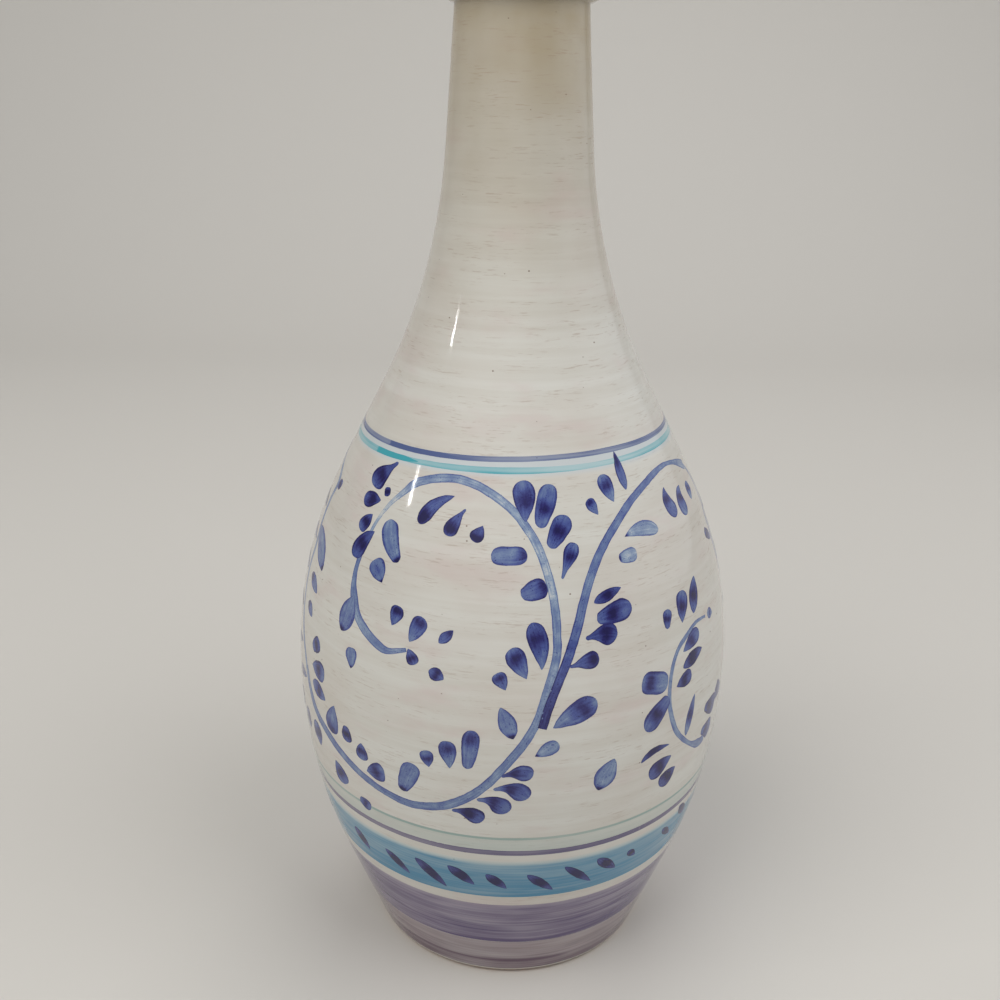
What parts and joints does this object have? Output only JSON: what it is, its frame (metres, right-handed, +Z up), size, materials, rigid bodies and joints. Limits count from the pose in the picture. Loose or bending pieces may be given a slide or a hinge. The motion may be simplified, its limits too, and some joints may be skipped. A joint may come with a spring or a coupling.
{
  "type": "bottle vase",
  "caption": "Free-standing glazed earthenware bottle vase: round belly, slim tapering neck, rolled lip, turned foot, banded blue, turquoise and lavender glaze colours.",
  "frame": {"origin": "centre of the foot ring, on the surface that the vase stands on", "axes": "+Z up along the vase's axis of turning; the painted front seen in the picture faces -Y"},
  "size_m": [0.1606, 0.1606, 0.3484],
  "materials": {
    "bare_earthenware": "matt fired clay",
    "inner_white_glaze": "gloss",
    "outer_white_glaze": "gloss",
    "shoulder_blue_line_colour": "gloss",
    "shoulder_turquoise_line_colour": "gloss",
    "sage_band_colour": "gloss",
    "slate_line_colour": "gloss",
    "turquoise_band_colour": "gloss",
    "lavender_band_colour": "gloss",
    "lilac_foot_band_colour": "gloss"
  },
  "bodies": {
    "root": {"clay_body": "bare_earthenware", "inner_glaze": "inner_white_glaze", "outer_glaze": "outer_white_glaze", "shoulder_blue_line": "shoulder_blue_line_colour", "shoulder_turquoise_line": "shoulder_turquoise_line_colour", "sage_band": "sage_band_colour", "slate_line": "slate_line_colour", "turquoise_band": "turquoise_band_colour", "lavender_band": "lavender_band_colour", "lilac_foot_band": "lilac_foot_band_colour"}
  },
  "joints": []
}
